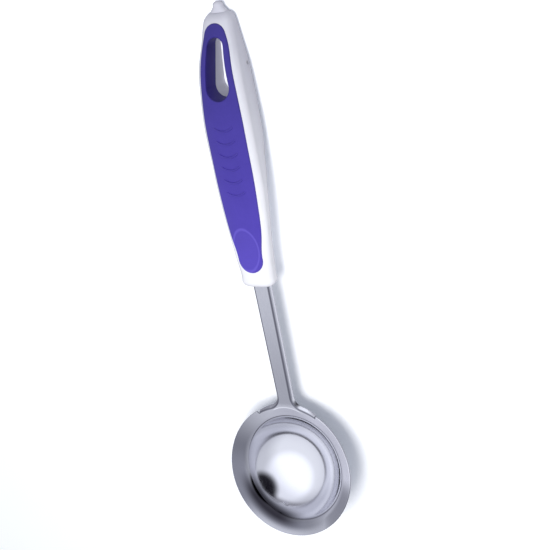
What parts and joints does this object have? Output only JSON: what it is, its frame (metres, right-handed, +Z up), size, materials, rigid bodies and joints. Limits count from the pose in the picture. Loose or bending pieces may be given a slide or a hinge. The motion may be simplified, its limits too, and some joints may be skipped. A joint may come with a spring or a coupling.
{
  "type": "soup ladle",
  "caption": "Soup ladle with a round steel bowl on a bent steel shank, a white plastic handle, a soft purple front grip and a hanging hole.",
  "frame": {"origin": "middle of the ladle's length and width, on the table that it lies on with its back down", "axes": "+Y from the bowl to the handle's top, +Z up, out of the open bowl, +X to the right with the handle away from the viewer"},
  "size_m": [0.0851, 0.329, 0.0389],
  "materials": {
    "steel": "polished stainless sheet with fine grain along the shank",
    "core": "moulded plastic, hidden inside the handle",
    "white_plastic": "glossy white",
    "soft_grip": "soft satin purple"
  },
  "bodies": {
    "root": {"bowl_and_shank": "steel", "tang_core": "core", "handle_body": "white_plastic", "front_grip": "soft_grip"}
  },
  "joints": []
}
